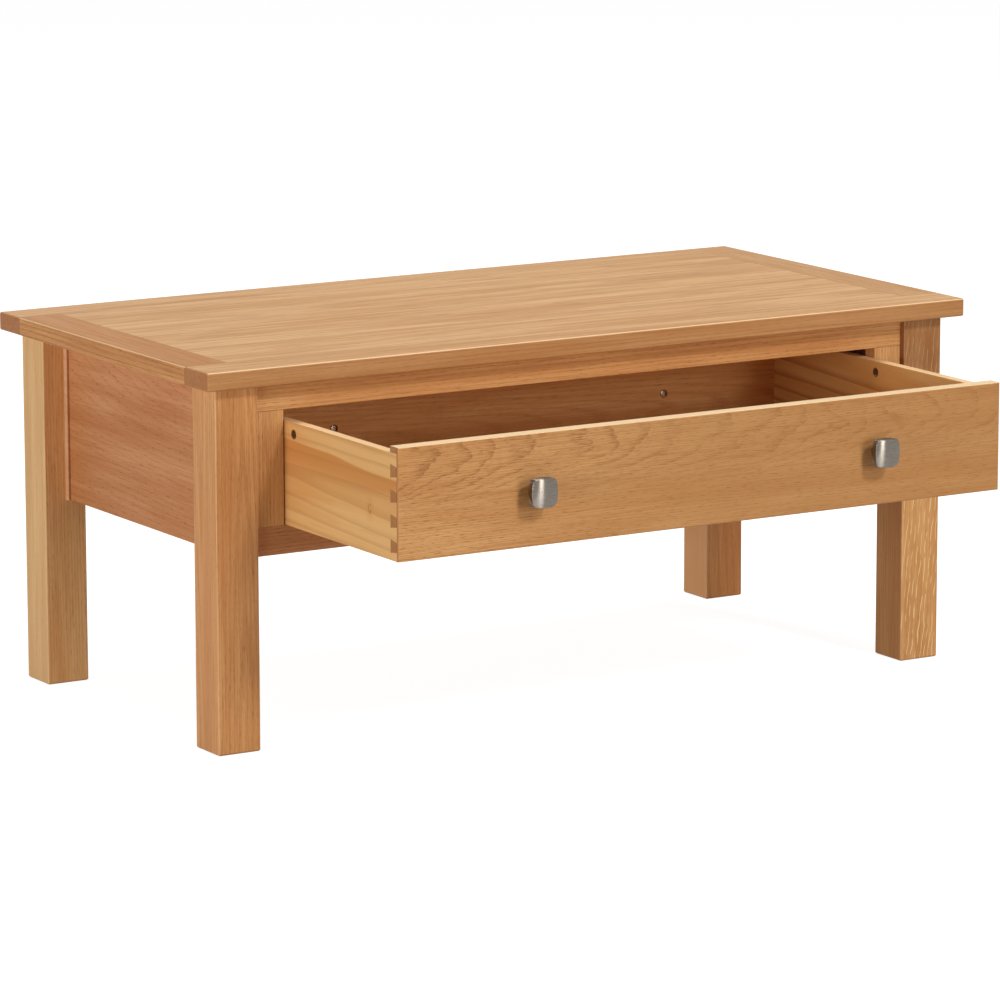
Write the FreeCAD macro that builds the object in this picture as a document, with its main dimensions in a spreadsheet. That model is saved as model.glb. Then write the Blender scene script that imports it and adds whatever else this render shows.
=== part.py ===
import FreeCAD, Part
import os
import re
import Sketcher

# Coffee table in oak with one wide drawer that slides through the case from front to back.
# Frame: origin on the floor under the middle of the top, +X along the front to the right,
# +Y from front to back, +Z up.  Millimetres.

SIZES = {
    # Top: four border boards round a panel of edge-joined boards
    "top_length": 1050,
    "top_depth": 530,
    "top_thickness": 22,
    "table_height": 450,
    "top_overhang": 20,
    "border_past_screws": 16,
    "border_arris": 2.5,
    "top_tongue_length": 8,
    "top_tongue_thickness": 7,
    "groove_stop": 20,
    # Legs
    "leg_width": 55,
    "leg_arris": 2,
    "foot_chamfer": 2,
    # Case: rails and stiles between the legs, and the end panels
    "frame_recess": 8,
    "frame_thickness": 20,
    "upper_rail_height": 34,
    "lower_rail_height": 34,
    "stile_width": 38,
    "opening_height": 134,
    "panel_setback": 5,
    "panel_thickness": 18,
    "panel_bead_width": 6,
    "panel_bead_rise": 4,
    "panel_bead_radius": 2,
    "tenon_length": 12,
    "tenon_thickness": 8,
    "tenon_shoulder": 5,
    "mortise_gap": 1,
    "sanded_arris": 1,
    # Strips that carry and guide the drawer
    "runner_width": 50,
    "runner_thickness": 22,
    "runner_leg_gap": 8,
    "guide_height": 25,
    "housing_wall": 1,
    # Drawer
    "drawer_open": 258,
    "drawer_lift": 0.3,
    "drawer_play": 1.5,
    "drawer_top_gap": 4.7,
    "drawer_front_thickness": 18,
    "drawer_front_arris": 1.5,
    "drawer_side_drop": 7,
    "drawer_side_thickness": 12,
    "drawer_bottom_thickness": 6,
    "drawer_bottom_rise": 10,
    "drawer_groove_depth": 6,
    "groove_play": 0.2,
    "bottom_gap": 0.5,
    "side_hole_diameter": 11,
    "side_hole_drop": 14,
    # Lapped dovetails at the drawer's corners
    "dovetail_lap": 4,
    "pin_base_height": 15.5,
    "pin_tip_height": 11,
    "lowest_pin_centre": 16,
    "highest_pin_drop": 21,
    # Knobs and their bolts
    "knob_spacing": 468,
    "knob_width": 34,
    "knob_side_radius": 58,
    "knob_head_depth": 12,
    "knob_corner_radius": 5,
    "knob_side_margin": 8,
    "knob_end_margin": 25,
    "knob_edge_radius": 1.2,
    "knob_neck_diameter": 15,
    "knob_neck_length": 14,
    "bolt_diameter": 4,
    "bolt_bite": 10,
    "bolt_head_diameter": 7.5,
    "bolt_head_height": 2.5,
    "bolt_sink_diameter": 11,
    "bolt_sink_depth": 4,
    "bolt_hole_play": 0.5,
    "thread_play": 0.1,
    # Screws that hold the top from below
    "screw_diameter": 4.5,
    "screw_bite": 14,
    "screw_head_diameter": 9,
    "screw_head_height": 3,
    "screw_hole_play": 1.5,
    "counterbore_play": 3,
    "counterbore_depth": 12,
    "rail_screw_spacing": 300,
}
TOP_BOARDS = 4
PINS = 4
RAIL_SCREWS = 3

# Slack when edges are matched with the sides of a solid, and the least that a cut takes away
HAIR = 0.001
LEAST_CUT = 1

# Places worked out from the sizes, as text for the document's expressions
half_length = "(top_length / 2)"
half_depth = "(top_depth / 2)"
leg_face_x = f"({half_length} - top_overhang)"
leg_face_y = f"({half_depth} - top_overhang)"
leg_inner_x = f"({leg_face_x} - leg_width)"
leg_inner_y = f"({leg_face_y} - leg_width)"
frame_face_y = f"({leg_face_y} - frame_recess)"
frame_back_y = f"({frame_face_y} - frame_thickness)"
underside_z = "(table_height - top_thickness)"
opening_top_z = f"({underside_z} - upper_rail_height)"
opening_base_z = f"({opening_top_z} - opening_height)"
case_base_z = f"({opening_base_z} - lower_rail_height)"
opening_half = f"({leg_inner_x} - stile_width)"
panel_inset = "(leg_width - panel_setback - panel_thickness)"
mortise_depth = "(tenon_length + mortise_gap)"
frame_tenon_y = "((frame_thickness - tenon_thickness) / 2)"
panel_tenon_x = "((panel_thickness - tenon_thickness) / 2)"
housing_depth = f"({frame_tenon_y} - housing_wall)"
runner_outer_x = f"({leg_inner_x} - runner_leg_gap)"
guide_width = "(stile_width - runner_leg_gap)"
runner_length = f"(2 * ({frame_back_y} + {housing_depth}))"
screw_row_x = f"({runner_outer_x} - runner_width / 2)"
rail_screw_inset = "(top_overhang + frame_recess + frame_thickness / 2)"
border_width = f"({rail_screw_inset} + border_past_screws)"
top_groove_depth = "(top_tongue_length + mortise_gap)"
panel_length = f"(top_length - 2 * {border_width})"
panel_depth = f"(top_depth - 2 * {border_width})"
board_width = f"({panel_depth} / {TOP_BOARDS})"
tongue_z = "((top_thickness - top_tongue_thickness) / 2)"
drawer_width = f"(2 * ({opening_half} - drawer_play))"
drawer_depth = f"(2 * {frame_face_y})"
drawer_face_y = f"(-{frame_face_y} - drawer_open)"
drawer_base_z = f"({opening_base_z} + drawer_lift)"
drawer_front_height = "(opening_height - drawer_lift - drawer_top_gap)"
drawer_side_height = f"({drawer_front_height} - drawer_side_drop)"
drawer_side_length = f"({drawer_depth} - 2 * dovetail_lap)"
drawer_inner_width = f"({drawer_width} - 2 * drawer_side_thickness)"
drawer_inner_depth = f"({drawer_depth} - 2 * drawer_front_thickness)"
pin_length = "(drawer_front_thickness - dovetail_lap)"
pin_pitch = f"(({drawer_side_height} - lowest_pin_centre - highest_pin_drop) / {PINS - 1})"
bottom_tongue = "(drawer_groove_depth - bottom_gap)"
bottom_slot = "(drawer_bottom_thickness + groove_play)"
knob_z = f"({drawer_base_z} + {drawer_front_height} / 2)"
screw_seat_z = f"({opening_top_z} + counterbore_depth)"
screw_length = "(upper_rail_height - counterbore_depth + screw_bite)"
pilot_diameter = "(screw_diameter + thread_play)"
pilot_depth = "(screw_bite + mortise_gap)"

doc = FreeCAD.newDocument("coffee_table")
sheet = doc.addObject("Spreadsheet::Sheet", "Sizes")
for row, (alias, number) in enumerate(SIZES.items(), 1):
    sheet.set(f"A{row}", alias)
    sheet.set(f"B{row}", str(number))
    sheet.setAlias(f"B{row}", alias)
doc.recompute()
nodes = []


def formula(text):
    """An expression in which every size's name points at its cell."""
    return re.sub(r"[a-z]+(?:_[a-z]+)+", lambda found: "Sizes." + found.group(), text)


def bind(thing, path, text):
    """Ties a property to the sizes."""
    thing.setExpression(path, formula(text))


def place(thing, x, y, z):
    """Ties the place of an object's origin to the sizes."""
    bind(thing, "Placement.Base.x", x)
    bind(thing, "Placement.Base.y", y)
    bind(thing, "Placement.Base.z", z)


def piece(kind, label):
    """A new sub-part of the table."""
    thing = doc.addObject(kind, label)
    thing.Label = label
    nodes.append(thing)
    return thing


def sketch_on(body, plane, offset="0"):
    """An empty sketch on one of the body's own planes, moved along the plane's normal."""
    sketch = body.newObject("Sketcher::SketchObject", body.Name + "_sketch")
    support = next(part for part in body.Origin.OriginFeatures if part.Role == plane)
    sketch.AttachmentSupport = [(support, "")]
    sketch.MapMode = "FlatFace"
    bind(sketch, "AttachmentOffset.Base.z", offset)
    return sketch


def dimension(sketch, kind, text, *ends):
    """A sketch dimension tied to the sizes."""
    number = sketch.addConstraint(Sketcher.Constraint(kind, *ends, 1.0))
    bind(sketch, f"Constraints[{number}]", text)


def polygon(sketch, *corners):
    """A closed outline whose corners are each dimensioned from the sketch's origin."""
    first = sketch.GeometryCount
    points = [FreeCAD.Vector(number, number * number, 0) for number in range(len(corners))]
    for start, end in zip(points, points[1:] + points[:1]):
        sketch.addGeometry(Part.LineSegment(start, end), False)
    for number, (x, y) in enumerate(corners):
        line = first + number
        following = first + (number + 1) % len(corners)
        sketch.addConstraint(Sketcher.Constraint("Coincident", line, 2, following, 1))
        dimension(sketch, "DistanceX", x, -1, 1, line, 1)
        dimension(sketch, "DistanceY", y, -1, 1, line, 1)


def rectangle(sketch, low, extent):
    """A rectangle from its low corner and its two extents."""
    right = f"({low[0]} + {extent[0]})"
    upper = f"({low[1]} + {extent[1]})"
    polygon(sketch, (low[0], low[1]), (right, low[1]), (right, upper), (low[0], upper))


def circle(sketch, centre, diameter):
    """A circle dimensioned from the sketch's origin."""
    ring = sketch.addGeometry(Part.Circle(FreeCAD.Vector(1, 1, 0), FreeCAD.Vector(0, 0, 1), 1), False)
    dimension(sketch, "DistanceX", centre[0], -1, 1, ring, 3)
    dimension(sketch, "DistanceY", centre[1], -1, 1, ring, 3)
    dimension(sketch, "Diameter", diameter, ring)


def pad(body, sketch, length, backwards=False):
    """Adds the sketch's outline, drawn out along its normal or against it."""
    feature = body.newObject("PartDesign::Pad", body.Name + "_pad")
    feature.Profile = sketch
    feature.Reversed = backwards
    bind(feature, "Length", length)
    return feature


def pocket(body, sketch, depth, along_normal=False):
    """Cuts the sketch's outline against its normal or along it."""
    feature = body.newObject("PartDesign::Pocket", body.Name + "_pocket")
    feature.Profile = sketch
    feature.Reversed = along_normal
    bind(feature, "Length", depth)
    return feature


def row_upwards(body, feature, sketch, spacing, count):
    """Repeats a feature at even steps along its sketch's upright axis."""
    pattern = body.newObject("PartDesign::LinearPattern", body.Name + "_row")
    pattern.Originals = [feature]
    pattern.Direction = (sketch, ["V_Axis"])
    pattern.Occurrences = count
    bind(pattern, "Length", f"{spacing} * {count - 1}")
    body.Tip = pattern
    return pattern


def edges(feature, along, *sides):
    """Names of the straight edges along an axis that lie on the given sides of the solid."""
    doc.recompute()
    box = feature.Shape.BoundBox
    names = []
    for number, edge in enumerate(feature.Shape.Edges, 1):
        reach = edge.BoundBox
        across = [getattr(reach, axis + "Length") for axis in "XYZ" if axis != along]
        limits = [side[1] + ("Max" if side[0] == "+" else "Min") for side in sides]
        on_sides = all(abs(getattr(reach, limit) - getattr(box, limit)) < HAIR for limit in limits)
        if max(across) < HAIR and on_sides:
            names.append(f"Edge{number}")
    return names


def soften(body, feature, radius, names):
    """Rounds the named edges of the feature."""
    rounding = body.newObject("PartDesign::Fillet", body.Name + "_arris")
    rounding.Base = (feature, names)
    bind(rounding, "Radius", radius)
    return rounding


def blank(label, low, extent):
    """A board sawn to size, with its low corner as its own origin."""
    body = piece("PartDesign::Body", label)
    place(body, *low)
    sketch = sketch_on(body, "XY_Plane")
    rectangle(sketch, ("0", "0"), extent[:2])
    return body, pad(body, sketch, extent[2])


def mirrored(source, label, normal, middle_y="0"):
    """The opposite-handed piece across a plane through the middle of the table or the drawer."""
    copy = piece("Part::Mirroring", label)
    copy.Source = source
    copy.Normal = normal
    bind(copy, "Base.y", middle_y)
    return copy


LEFT_TO_RIGHT = FreeCAD.Vector(1, 0, 0)
FRONT_TO_BACK = FreeCAD.Vector(0, 1, 0)


def four_corners(source, names, middle_y="0"):
    """The other three of four pieces that stand opposite each other."""
    right = mirrored(source, names[0], LEFT_TO_RIGHT)
    mirrored(source, names[1], FRONT_TO_BACK, middle_y)
    mirrored(right, names[2], FRONT_TO_BACK, middle_y)


def make_legs():
    """Square legs with mortises for the rails on one inner face and the end panel on the other."""
    low = (f"-{leg_face_x}", f"-{leg_face_y}", "0")
    body, shaft = blank("leg_front_left", low, ("leg_width", "leg_width", underside_z))
    foot = body.newObject("PartDesign::Chamfer", "foot_edge")
    foot.Base = (shaft, edges(shaft, "X", "-Z") + edges(shaft, "Y", "-Z"))
    bind(foot, "Size", "foot_chamfer")
    soften(body, foot, "leg_arris", edges(foot, "Z"))

    rail_mortises = sketch_on(body, "YZ_Plane", "leg_width")
    across = f"frame_recess + {frame_tenon_y}"
    for base, height in ((opening_top_z, "upper_rail_height"), (case_base_z, "lower_rail_height")):
        rectangle(rail_mortises, (across, f"{base} + tenon_shoulder"),
                  ("tenon_thickness", f"{height} - 2 * tenon_shoulder"))
    pocket(body, rail_mortises, mortise_depth)

    panel_mortise = sketch_on(body, "XZ_Plane", "-leg_width")
    rectangle(panel_mortise, (f"{panel_inset} + {panel_tenon_x}", f"{case_base_z} + tenon_shoulder"),
              ("tenon_thickness", f"{underside_z} - {case_base_z} - 2 * tenon_shoulder"))
    pocket(body, panel_mortise, mortise_depth, along_normal=True)
    four_corners(body, ("leg_front_right", "leg_back_left", "leg_back_right"))


def make_end_panels():
    """End panels, set well back from the legs' outer faces, with a bead at each leg and tongued into it."""
    low = (f"-{leg_face_x} + {panel_inset}", f"-{leg_inner_y}", case_base_z)
    height = f"({underside_z} - {case_base_z})"
    body, board = blank("end_panel_left", low, ("panel_thickness", f"2 * {leg_inner_y}", height))
    soften(body, board, "sanded_arris", edges(board, "Y", "-Z"))
    beads = sketch_on(body, "XY_Plane")
    for start in ("0", f"2 * {leg_inner_y} - panel_bead_width"):
        rectangle(beads, ("-panel_bead_rise", start), ("2 * panel_bead_rise", "panel_bead_width"))
    strips = pad(body, beads, height)
    at_legs = edges(strips, "Z", "-X", "-Y") + edges(strips, "Z", "-X", "+Y")
    free = [edge for edge in edges(strips, "Z", "-X") if edge not in at_legs]
    soften(body, strips, "panel_bead_radius", free)
    tongues = sketch_on(body, "XZ_Plane", "tenon_length")
    rectangle(tongues, (panel_tenon_x, "tenon_shoulder"),
              ("tenon_thickness", f"{height} - 2 * tenon_shoulder"))
    pad(body, tongues, f"2 * {leg_inner_y} + 2 * tenon_length", backwards=True)
    mirrored(body, "end_panel_right", LEFT_TO_RIGHT)


def make_rail(label, base_z, height, upper):
    """A rail between the legs: tenons on its ends, mortises for the stiles, housings behind."""
    low = (f"-{leg_inner_x}", f"-{frame_face_y}", base_z)
    body, board = blank(label, low, (f"2 * {leg_inner_x}", "frame_thickness", height))
    soften(body, board, "sanded_arris", edges(board, "X", "-Y"))

    tenons = sketch_on(body, "YZ_Plane", "-tenon_length")
    rectangle(tenons, (frame_tenon_y, "tenon_shoulder"),
              ("tenon_thickness", f"{height} - 2 * tenon_shoulder"))
    pad(body, tenons, f"2 * {leg_inner_x} + 2 * tenon_length")

    stile_mortises = sketch_on(body, "XY_Plane", "0" if upper else height)
    mortise = ("stile_width - 2 * tenon_shoulder", "tenon_thickness")
    far_stile = f"2 * {leg_inner_x} - stile_width + tenon_shoulder"
    rectangle(stile_mortises, ("tenon_shoulder", frame_tenon_y), mortise)
    rectangle(stile_mortises, (far_stile, frame_tenon_y), mortise)
    pocket(body, stile_mortises, mortise_depth, along_normal=upper)

    housings = sketch_on(body, "XZ_Plane", "-frame_thickness")
    housing_height = height if upper else "runner_thickness"
    housing_base = f"{height} - {housing_height}"
    far_housing = f"2 * {leg_inner_x} - runner_leg_gap - runner_width"
    for start in ("runner_leg_gap", far_housing):
        rectangle(housings, (start, housing_base), ("runner_width", housing_height))
    pocket(body, housings, housing_depth, along_normal=True)
    return body


def bore_for_screws(body, centres):
    """Clearance holes right through an upper rail or kicker, counterbored from below."""
    holes = sketch_on(body, "XY_Plane")
    sinks = sketch_on(body, "XY_Plane")
    for centre in centres:
        circle(holes, centre, "screw_diameter + screw_hole_play")
        circle(sinks, centre, "screw_head_diameter + counterbore_play")
    pocket(body, holes, "upper_rail_height", along_normal=True)
    pocket(body, sinks, "counterbore_depth", along_normal=True)


def rail_screw_places(middle):
    """Distances along a rail of its screws, the middle one at half its length."""
    steps = range(-(RAIL_SCREWS // 2), RAIL_SCREWS // 2 + 1)
    return [f"{middle} + {step} * rail_screw_spacing" for step in steps]


def make_rails():
    """Upper and lower rails, front and back."""
    upper = make_rail("front_upper_rail", opening_top_z, "upper_rail_height", True)
    bore_for_screws(upper, [(x, "frame_thickness / 2") for x in rail_screw_places(leg_inner_x)])
    lower = make_rail("front_lower_rail", case_base_z, "lower_rail_height", False)
    mirrored(upper, "back_upper_rail", FRONT_TO_BACK)
    mirrored(lower, "back_lower_rail", FRONT_TO_BACK)


def make_stiles():
    """Upright stiles between the rails, on both sides of each opening."""
    low = (f"-{leg_inner_x}", f"-{frame_face_y}", opening_base_z)
    body, board = blank("front_stile_left", low, ("stile_width", "frame_thickness", "opening_height"))
    soften(body, board, "sanded_arris", edges(board, "Z", "+X", "-Y"))
    tenons = sketch_on(body, "XY_Plane", "-tenon_length")
    rectangle(tenons, ("tenon_shoulder", frame_tenon_y),
              ("stile_width - 2 * tenon_shoulder", "tenon_thickness"))
    pad(body, tenons, "opening_height + 2 * tenon_length")
    four_corners(body, ("front_stile_right", "back_stile_left", "back_stile_right"))


def make_drawer_strips():
    """Runners under the drawer's sides, guides beside them, and kickers over them."""
    low_x = f"-{runner_outer_x}"
    low_y = f"-{runner_length} / 2"
    runner_low = (low_x, low_y, f"{opening_base_z} - runner_thickness")
    runner, _ = blank("drawer_runner_left", runner_low, ("runner_width", runner_length, "runner_thickness"))
    mirrored(runner, "drawer_runner_right", LEFT_TO_RIGHT)

    guide_low = (low_x, f"-{frame_back_y}", opening_base_z)
    guide_extent = (guide_width, f"2 * {frame_back_y}", "guide_height")
    guide, strip = blank("drawer_guide_left", guide_low, guide_extent)
    soften(guide, strip, "sanded_arris", edges(strip, "Y", "+X", "+Z"))
    mirrored(guide, "drawer_guide_right", LEFT_TO_RIGHT)

    kicker_low = (low_x, low_y, opening_top_z)
    kicker, _ = blank("drawer_kicker_left", kicker_low, ("runner_width", runner_length, "upper_rail_height"))
    bore_for_screws(kicker, [("runner_width / 2", f"{runner_length} / 2 + {y}") for y in board_centres()])
    mirrored(kicker, "drawer_kicker_right", LEFT_TO_RIGHT)


def board_centres():
    """Distances of the top boards' middles from the middle of the table."""
    return [f"{number - (TOP_BOARDS - 1) / 2} * {board_width}" for number in range(TOP_BOARDS)]


def make_top_borders():
    """Border boards: long ones over the full length, short ones tongued between them."""
    low = (f"-{half_length}", f"-{half_depth}", underside_z)
    front, board = blank("top_border_front", low, ("top_length", border_width, "top_thickness"))
    rim = edges(board, "X", "-Y") + edges(board, "Z", "-Y") + edges(board, "Y")
    soften(front, board, "border_arris", rim)
    groove = sketch_on(front, "XZ_Plane", f"-{border_width}")
    rectangle(groove, ("groove_stop", tongue_z), ("top_length - 2 * groove_stop", "top_tongue_thickness"))
    pocket(front, groove, top_groove_depth, along_normal=True)
    pilots = sketch_on(front, "XY_Plane")
    for x in rail_screw_places(half_length):
        circle(pilots, (x, rail_screw_inset), pilot_diameter)
    pocket(front, pilots, pilot_depth, along_normal=True)
    mirrored(front, "top_border_back", FRONT_TO_BACK)

    end_low = (f"-{half_length}", f"-{half_depth} + {border_width}", underside_z)
    end, board = blank("top_border_left", end_low, (border_width, panel_depth, "top_thickness"))
    soften(end, board, "border_arris", edges(board, "Y", "-X"))
    tongues = sketch_on(end, "XZ_Plane", "top_tongue_length")
    tongue_width = f"{border_width} - {top_groove_depth} - groove_stop"
    rectangle(tongues, ("groove_stop", tongue_z), (tongue_width, "top_tongue_thickness"))
    pad(end, tongues, f"{panel_depth} + 2 * top_tongue_length", backwards=True)
    groove = sketch_on(end, "YZ_Plane", border_width)
    rectangle(groove, ("0", tongue_z), (panel_depth, "top_tongue_thickness"))
    pocket(end, groove, top_groove_depth)
    mirrored(end, "top_border_right", LEFT_TO_RIGHT)


def make_top_board(number):
    """One board of the top's panel, tongued into the borders that it meets."""
    low_y = f"-{half_depth} + {border_width} + {number} * {board_width}"
    low = (f"-{panel_length} / 2", low_y, underside_z)
    body, _ = blank(f"top_board_{number + 1}", low, (panel_length, board_width, "top_thickness"))
    end_tongues = sketch_on(body, "YZ_Plane", "-top_tongue_length")
    rectangle(end_tongues, ("0", tongue_z), (board_width, "top_tongue_thickness"))
    pad(body, end_tongues, f"{panel_length} + 2 * top_tongue_length")
    if number in (0, TOP_BOARDS - 1):
        foremost = number == 0
        edge_tongue = sketch_on(body, "XZ_Plane", "0" if foremost else f"-{board_width}")
        rectangle(edge_tongue, ("0", tongue_z), (panel_length, "top_tongue_thickness"))
        pad(body, edge_tongue, "top_tongue_length", backwards=not foremost)
    pilots = sketch_on(body, "XY_Plane")
    for side in ("-", "+"):
        circle(pilots, (f"{panel_length} / 2 {side} {screw_row_x}", f"{board_width} / 2"), pilot_diameter)
    pocket(body, pilots, pilot_depth, along_normal=True)


def make_screws(label, origin, centres):
    """A group of screws with their heads in the counterbores and their tips in the top."""
    body = piece("PartDesign::Body", label)
    body.AllowCompound = True
    place(body, *origin)
    shanks = sketch_on(body, "XY_Plane")
    heads = sketch_on(body, "XY_Plane")
    for centre in centres:
        circle(shanks, centre, "screw_diameter")
        circle(heads, centre, "screw_head_diameter")
    pad(body, shanks, screw_length)
    pad(body, heads, "screw_head_height", backwards=True)


def make_top():
    """The whole top, and the screws that hold it down."""
    make_top_borders()
    for number in range(TOP_BOARDS):
        make_top_board(number)
    first_board = f"-{(TOP_BOARDS - 1) / 2} * {board_width}"
    across = [f"{number} * {board_width}" for number in range(TOP_BOARDS)]
    rows = [(x, y) for x in ("0", f"2 * {screw_row_x}") for y in across]
    make_screws("kicker_screws", (f"-{screw_row_x}", first_board, screw_seat_z), rows)
    row_y = f"({frame_face_y} - frame_thickness / 2)"
    along = [f"{number} * rail_screw_spacing" for number in range(RAIL_SCREWS)]
    rows = [(x, y) for x in along for y in ("0", f"2 * {row_y}")]
    start = f"-{RAIL_SCREWS // 2} * rail_screw_spacing"
    make_screws("rail_screws", (start, f"-{row_y}", screw_seat_z), rows)


def pin_outline(sketch, root_y, tip_y):
    """The lowest dovetail pin seen from the side: wide at its root, narrow at the lap."""
    half_base = "pin_base_height / 2"
    half_tip = "pin_tip_height / 2"
    root_low = (root_y, f"lowest_pin_centre - {half_base}")
    root_high = (root_y, f"lowest_pin_centre + {half_base}")
    tip_low = (tip_y, f"lowest_pin_centre - {half_tip}")
    tip_high = (tip_y, f"lowest_pin_centre + {half_tip}")
    polygon(sketch, root_low, root_high, tip_high, tip_low)


def make_drawer_fronts():
    """Front and back of the drawer: alike, with the pins of the lapped dovetails on their ends."""
    low = (f"-{drawer_width} / 2", drawer_face_y, drawer_base_z)
    extent = (drawer_width, "drawer_front_thickness", drawer_front_height)
    body, board = blank("drawer_front", low, extent)
    soften(body, board, "drawer_front_arris", edges(board, "X", "-Y") + edges(board, "Z", "-Y"))

    laps = sketch_on(body, "XY_Plane")
    for start in ("0", f"{drawer_width} - drawer_side_thickness"):
        rectangle(laps, (start, "dovetail_lap"), ("drawer_side_thickness", pin_length))
    pocket(body, laps, drawer_side_height, along_normal=True)
    pins = sketch_on(body, "YZ_Plane")
    pin_outline(pins, "drawer_front_thickness", "dovetail_lap")
    row_upwards(body, pad(body, pins, drawer_width), pins, pin_pitch, PINS)

    groove = sketch_on(body, "XZ_Plane", "-drawer_front_thickness")
    rectangle(groove, ("drawer_side_thickness - drawer_groove_depth", "drawer_bottom_rise"),
              (f"{drawer_inner_width} + 2 * drawer_groove_depth", bottom_slot))
    pocket(body, groove, "drawer_groove_depth", along_normal=True)
    bolt_holes = sketch_on(body, "XZ_Plane")
    sinks = sketch_on(body, "XZ_Plane", "-drawer_front_thickness")
    for side in ("-", "+"):
        centre = (f"{drawer_width} / 2 {side} knob_spacing / 2", f"{drawer_front_height} / 2")
        circle(bolt_holes, centre, "bolt_diameter + bolt_hole_play")
        circle(sinks, centre, "bolt_sink_diameter")
    pocket(body, bolt_holes, "drawer_front_thickness")
    pocket(body, sinks, "bolt_sink_depth", along_normal=True)
    mirrored(body, "drawer_back", FRONT_TO_BACK, "-drawer_open")


def make_drawer_sides():
    """Sides of the drawer, with dovetail tails at both ends and a round hole half way along."""
    low = (f"-{drawer_width} / 2", f"{drawer_face_y} + dovetail_lap", drawer_base_z)
    extent = ("drawer_side_thickness", drawer_side_length, drawer_side_height)
    body, board = blank("drawer_side_left", low, extent)
    soften(body, board, "sanded_arris", edges(board, "Y", "+Z"))
    sockets = sketch_on(body, "YZ_Plane")
    pin_outline(sockets, pin_length, "0")
    pin_outline(sockets, f"{drawer_side_length} - {pin_length}", drawer_side_length)
    cut = pocket(body, sockets, "drawer_side_thickness", along_normal=True)
    row_upwards(body, cut, sockets, pin_pitch, PINS)

    groove = sketch_on(body, "YZ_Plane", "drawer_side_thickness")
    rectangle(groove, ("0", "drawer_bottom_rise"), (drawer_side_length, bottom_slot))
    pocket(body, groove, "drawer_groove_depth")
    hole = sketch_on(body, "YZ_Plane")
    hole_centre = (f"{drawer_side_length} / 2", f"{drawer_side_height} - side_hole_drop")
    circle(hole, hole_centre, "side_hole_diameter")
    pocket(body, hole, "drawer_side_thickness", along_normal=True)
    mirrored(body, "drawer_side_right", LEFT_TO_RIGHT)


def make_drawer_bottom():
    """Thin panel held in the grooves of the drawer's four boards."""
    length = f"({drawer_inner_width} + 2 * {bottom_tongue})"
    depth = f"({drawer_inner_depth} + 2 * {bottom_tongue})"
    low = (f"-{length} / 2", f"-{depth} / 2 - drawer_open", f"{drawer_base_z} + drawer_bottom_rise")
    blank("drawer_bottom", low, (length, depth, "drawer_bottom_thickness"))


def outward(kind, name, x, y, z):
    """A primitive whose own axis points out of the drawer's front."""
    solid = doc.addObject(kind, name)
    solid.Placement = FreeCAD.Placement(FreeCAD.Vector(), FreeCAD.Rotation(FreeCAD.Vector(1, 0, 0), 90))
    place(solid, x, y, z)
    return solid


def cylinder(name, at, diameter, length):
    """A round bar along the outward axis."""
    solid = outward("Part::Cylinder", name, *at)
    bind(solid, "Radius", f"{diameter} / 2")
    bind(solid, "Height", length)
    return solid


def round_off(base, name, radius, names):
    """The solid with its named edges rounded."""
    rounding = doc.addObject("Part::Fillet", name)
    rounding.Base = base
    rounding.Edges = [(int(edge.removeprefix("Edge")), radius, radius) for edge in names]
    return rounding


def make_knobs():
    """Pillow-shaped square knobs with bowed sides and a crowned face, on round necks."""
    x = "(-knob_spacing / 2)"
    head_y = f"({drawer_face_y} - knob_neck_length)"
    shift = "(knob_side_radius - knob_width / 2)"
    bowed = []
    for side, (dx, dz) in enumerate(((1, 0), (-1, 0), (0, 1), (0, -1))):
        at = (f"{x} + {dx} * {shift}", head_y, f"{knob_z} + {dz} * {shift}")
        bowed.append(cylinder(f"knob_side_{side}", at, "2 * knob_side_radius", "knob_head_depth"))
    outline = doc.addObject("Part::MultiCommon", "knob_outline")
    outline.Shapes = bowed
    corners = edges(outline, "Y")
    pillow = round_off(outline, "knob_pillow", float(sheet.knob_corner_radius), corners)
    crown = outward("Part::Ellipsoid", "knob_crown", x, head_y, knob_z)
    bind(crown, "Radius1", "knob_head_depth")
    bind(crown, "Radius2", "knob_width / 2 + knob_side_margin")
    bind(crown, "Radius3", "knob_width / 2 + knob_end_margin")
    crown.Angle1 = 0
    head = doc.addObject("Part::MultiCommon", "knob_head")
    head.Shapes = [pillow, crown]
    doc.recompute()
    rims = [f"Edge{number}" for number, _ in enumerate(head.Shape.Edges, 1)]
    rounded = round_off(head, "knob_rounded_head", float(sheet.knob_edge_radius), rims)
    seat = (x, drawer_face_y, knob_z)
    neck = cylinder("knob_neck", seat, "knob_neck_diameter", "knob_neck_length + knob_edge_radius")
    whole = doc.addObject("Part::Fuse", "knob_whole")
    whole.Base = rounded
    whole.Tool = neck
    bore = cylinder("knob_bore", seat, "(bolt_diameter + thread_play)", "bolt_bite + mortise_gap")
    knob = piece("Part::Cut", "knob_front_left")
    knob.Base = whole
    knob.Tool = bore
    four_corners(knob, ("knob_front_right", "knob_back_left", "knob_back_right"), "-drawer_open")


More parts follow.
